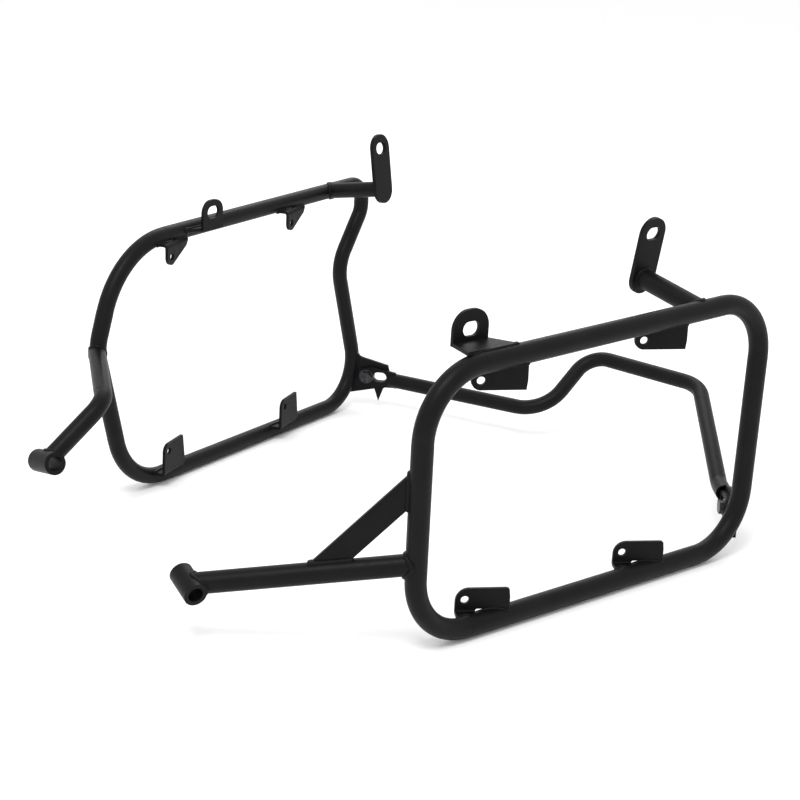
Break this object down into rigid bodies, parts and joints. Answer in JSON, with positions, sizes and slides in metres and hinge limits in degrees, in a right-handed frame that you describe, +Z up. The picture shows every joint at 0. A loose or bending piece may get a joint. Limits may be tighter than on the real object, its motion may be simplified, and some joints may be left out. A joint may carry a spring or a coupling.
{
  "type": "pannier frame",
  "caption": "Pair of welded tubular side frames for motorbike panniers, with foot arms, mounting plates and pannier tabs, joined behind the wheel by a bolted cross bar.",
  "frame": {"origin": "middle of the outline seen from above, on the floor that both loops stand on", "axes": "+X to the bike's rear, +Y to the bike's right, +Z up"},
  "size_m": [0.6982, 0.5414, 0.3224],
  "materials": {
    "powder_coat": "satin black powder coat with a fine texture",
    "bolt_steel": "dark phosphated steel"
  },
  "bodies": {
    "root": {"left_loop": "powder_coat", "left_foot_arm": "powder_coat", "left_foot_bush": "powder_coat", "left_gusset": "powder_coat", "left_ear": "powder_coat", "left_rear_arm": "powder_coat", "left_rear_plate": "powder_coat", "left_tab_top_front": "powder_coat", "left_tab_top_rear": "powder_coat", "left_tab_bottom_front": "powder_coat", "left_tab_bottom_rear": "powder_coat", "right_loop": "powder_coat", "right_foot_arm": "powder_coat", "right_foot_bush": "powder_coat", "right_ear": "powder_coat", "right_rear_arm": "powder_coat", "right_rear_plate": "powder_coat", "right_tab_top_front": "powder_coat", "right_tab_top_rear": "powder_coat", "right_tab_bottom_front": "powder_coat", "right_tab_bottom_rear": "powder_coat", "cross_bar": "powder_coat", "left_bar_bracket": "powder_coat", "right_bar_bracket": "powder_coat", "left_bar_lug": "powder_coat", "right_bar_lug": "powder_coat", "joint_bolts": "bolt_steel", "joint_washers": "bolt_steel", "joint_nuts": "bolt_steel"}
  },
  "joints": []
}
